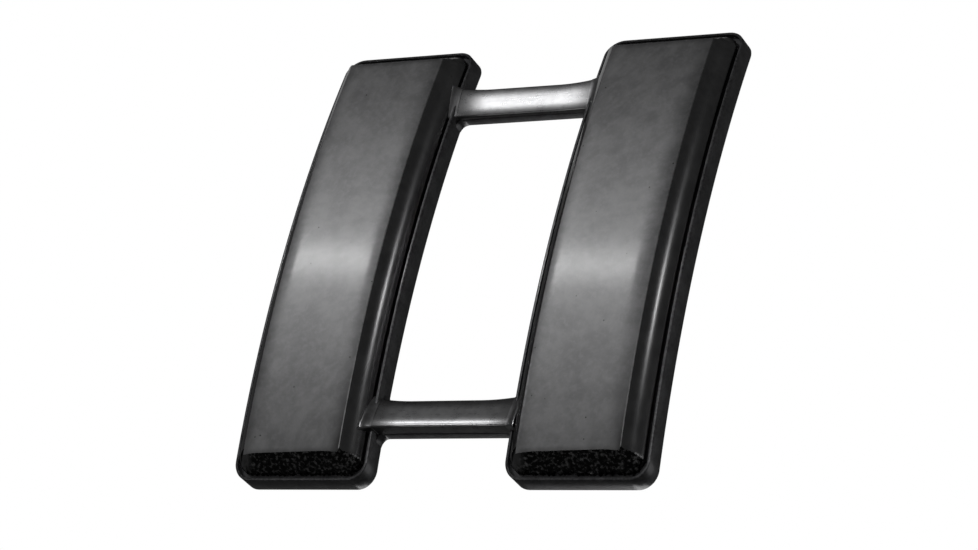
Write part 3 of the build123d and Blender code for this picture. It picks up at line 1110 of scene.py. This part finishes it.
def softbox(name, direction, distance, size, power, width=None):
    """Area light that looks at the insignia from a direction."""
    data = bpy.data.lights.new(name, "AREA")
    data.shape = "RECTANGLE"
    data.size = width or size
    data.size_y = size
    data.energy = power
    lamp = bpy.data.objects.new(name, data)
    towards = Vector(direction).normalized()
    lamp.location = towards * distance
    lamp.rotation_euler = towards.to_track_quat("Z", "Y").to_euler()
    lamp.visible_camera = False
    bpy.context.scene.collection.objects.link(lamp)


def studio_air():
    """White to look at and on the floor, dim in reflections."""
    world = bpy.data.worlds.new("studio_air")
    bpy.context.scene.world = world
    world.use_nodes = True
    tree = world.node_tree
    tree.nodes.clear()
    seen = tree.nodes.new("ShaderNodeBackground")
    seen.inputs["Color"].default_value = WHITE
    felt = tree.nodes.new("ShaderNodeBackground")
    felt.inputs["Color"].default_value = WHITE
    felt.inputs["Strength"].default_value = AIR_IN_REFLECTIONS
    path = tree.nodes.new("ShaderNodeLightPath")
    choose = tree.nodes.new("ShaderNodeMixShader")
    out = tree.nodes.new("ShaderNodeOutputWorld")
    white = tree.nodes.new("ShaderNodeMath")
    white.operation = "MAXIMUM"
    tree.links.new(path.outputs["Is Camera Ray"], white.inputs[0])
    tree.links.new(path.outputs["Is Diffuse Ray"], white.inputs[1])
    tree.links.new(white.outputs[0], choose.inputs[0])
    tree.links.new(felt.outputs[0], choose.inputs[1])
    tree.links.new(seen.outputs[0], choose.inputs[2])
    tree.links.new(choose.outputs[0], out.inputs["Surface"])


def camera():
    """Long lens, from below at the right, rolled so that the bars lean right."""
    data = bpy.data.cameras.new("camera")
    data.sensor_width = SENSOR_WIDTH
    data.lens = FOCAL_LENGTH
    data.clip_start = 0.001
    data.clip_end = 10.0
    eye = bpy.data.objects.new("camera", data)
    right, up = Vector(CAMERA_RIGHT), Vector(CAMERA_UP)
    turn = Matrix((right, up, right.cross(up))).transposed()
    eye.matrix_world = Matrix.Translation(Vector(CAMERA_AT) * MM) @ turn.to_4x4()
    bpy.context.scene.collection.objects.link(eye)
    bpy.context.scene.camera = eye


studio_floor()
studio_air()
# direction, distance in metres, height in metres, watts, and the width if it differs
softbox("key", (-0.530, -0.748, 0.400), 0.60, 0.02, 0.345, 0.17)
softbox("side_lamp", (0.86, -0.35, 0.37), 0.40, 0.010, 0.022)
softbox("front_fill", (0.05, -1.0, 0.05), FILL_DISTANCE, 0.16, 0.15)
softbox("low_fill", (-0.64, -0.64, -0.42), FILL_DISTANCE, 0.16, 0.11)
softbox("side_fill", (1.0, 0.0, -0.10), FILL_DISTANCE, 0.16, 0.05)
softbox("back_fill", (0.85, 0.52, -0.05), FILL_DISTANCE, 0.34, 0.16)
softbox("back_key", (-0.20, 0.94, -0.26), FILL_DISTANCE, 0.26, 0.38)
softbox("top_fill", (-0.60, 0.35, 0.72), FILL_DISTANCE, 0.30, 0.07)
camera()
bpy.context.scene.view_settings.view_transform = "Standard"
